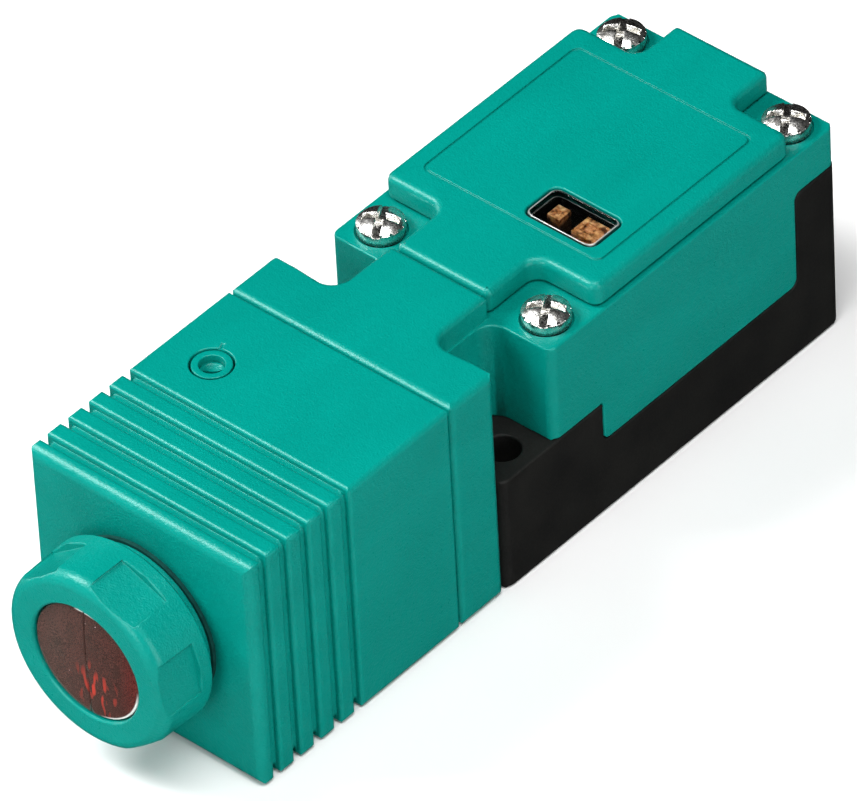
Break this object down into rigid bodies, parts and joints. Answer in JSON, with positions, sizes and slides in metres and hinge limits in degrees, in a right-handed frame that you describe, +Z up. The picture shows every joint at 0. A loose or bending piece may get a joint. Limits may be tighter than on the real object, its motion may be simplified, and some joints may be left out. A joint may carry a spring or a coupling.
{
  "type": "photoelectric sensor",
  "caption": "Block-style photoelectric sensor: ribbed square head with screw-on lens cap, lift-off electronics module and black terminal base with cable entry.",
  "frame": {"origin": "on the mounting face, at the centre of the 30 x 60 mm pattern of the front fixing holes and rear fixing inserts", "axes": "+Z up from the mounting face; the lens looks along -Y; the cable entry faces +Y; +X is the right side seen from behind the lens"},
  "size_m": [0.04, 0.1348, 0.04],
  "materials": {
    "green_pbt": "satin moulded teal green",
    "black_plastic": "fine-textured black moulding",
    "grey_plastic": "light grey moulding",
    "black_rubber": "moulded elastomer",
    "nickel": "bright nickel plating",
    "brass": "turned brass",
    "window_clear": "clear polycarbonate",
    "lens_red": "dark red acrylic",
    "amber": "translucent amber",
    "board": "green solder mask",
    "relay_blue": "moulded blue case",
    "capacitor_sleeve": "shrink sleeve",
    "led_red": "tinted epoxy",
    "flex": "polyimide film"
  },
  "bodies": {
    "base": {"terminal_base": "black_plastic", "base_gasket": "black_rubber", "housing_inserts": "brass", "fixing_inserts": "brass", "terminal_block": "grey_plastic", "terminal_clamps": "nickel", "terminal_screws": "nickel", "contact_sockets": "brass"},
    "module": {"module_housing": "green_pbt", "cover_lid": "green_pbt", "lid_gasket": "black_rubber", "indicator_window": "window_clear", "indicator_frame": "black_plastic", "indicator_lights": "amber", "main_board": "board", "output_relay": "relay_blue", "capacitors": "capacitor_sleeve", "control_chip": "black_plastic", "board_screws": "nickel", "electronics_tray": "black_plastic", "contact_pins": "nickel", "screw_seals": "black_rubber", "head_hood": "green_pbt", "head_seal": "black_rubber", "hood_screws": "nickel", "head_board": "board", "emitter_led": "led_red", "receiver_diode": "black_plastic", "optics_tube": "black_plastic", "flex_strip": "flex", "adjuster_body": "relay_blue", "adjuster_bezel": "green_pbt", "cap_seal": "black_rubber"},
    "adjuster": {"adjuster_rotor": "green_pbt"},
    "lens_group": {"lens_carrier": "black_plastic", "lens_seal": "black_rubber", "emitter_lens": "lens_red", "receiver_lens": "lens_red"},
    "cap": {"lens_cap": "green_pbt"},
    "front_left_screw": {"screw_front_left": "nickel"},
    "front_right_screw": {"screw_front_right": "nickel"},
    "rear_left_screw": {"screw_rear_left": "nickel"},
    "rear_right_screw": {"screw_rear_right": "nickel"}
  },
  "joints": [
    {"name": "module_lift", "type": "slide", "parent": "base", "child": "module", "axis": [0, 0, 1], "range_m": [0, 0.03]},
    {"name": "adjuster_turn", "type": "hinge", "parent": "module", "child": "adjuster", "pos_m": [-0.0116, -0.0584, 0.038], "axis": [0, 0, 1], "range_deg": [-135, 135]},
    {"name": "cap_travel", "type": "slide", "parent": "module", "child": "lens_group", "axis": [0, -1, 0], "range_m": [0, 0.00451]},
    {"name": "cap_turn", "type": "hinge", "parent": "lens_group", "child": "cap", "pos_m": [0, -0.092, 0.0204], "axis": [0, -1, 0], "range_deg": [0, 1080]},
    {"name": "front_left_screw_turn", "type": "hinge", "parent": "module", "child": "front_left_screw", "pos_m": [-0.015, -0.0198, 0.036], "axis": [0, 0, 1], "continuous": true},
    {"name": "front_right_screw_turn", "type": "hinge", "parent": "module", "child": "front_right_screw", "pos_m": [0.015, -0.0198, 0.036], "axis": [0, 0, 1], "continuous": true},
    {"name": "rear_left_screw_turn", "type": "hinge", "parent": "module", "child": "rear_left_screw", "pos_m": [-0.015, 0.0315, 0.036], "axis": [0, 0, 1], "continuous": true},
    {"name": "rear_right_screw_turn", "type": "hinge", "parent": "module", "child": "rear_right_screw", "pos_m": [0.015, 0.0315, 0.036], "axis": [0, 0, 1], "continuous": true}
  ],
  "couplings": [
    {"joint": "cap_travel", "follows": "cap_turn", "m_per_rad": 0.00023873}
  ]
}
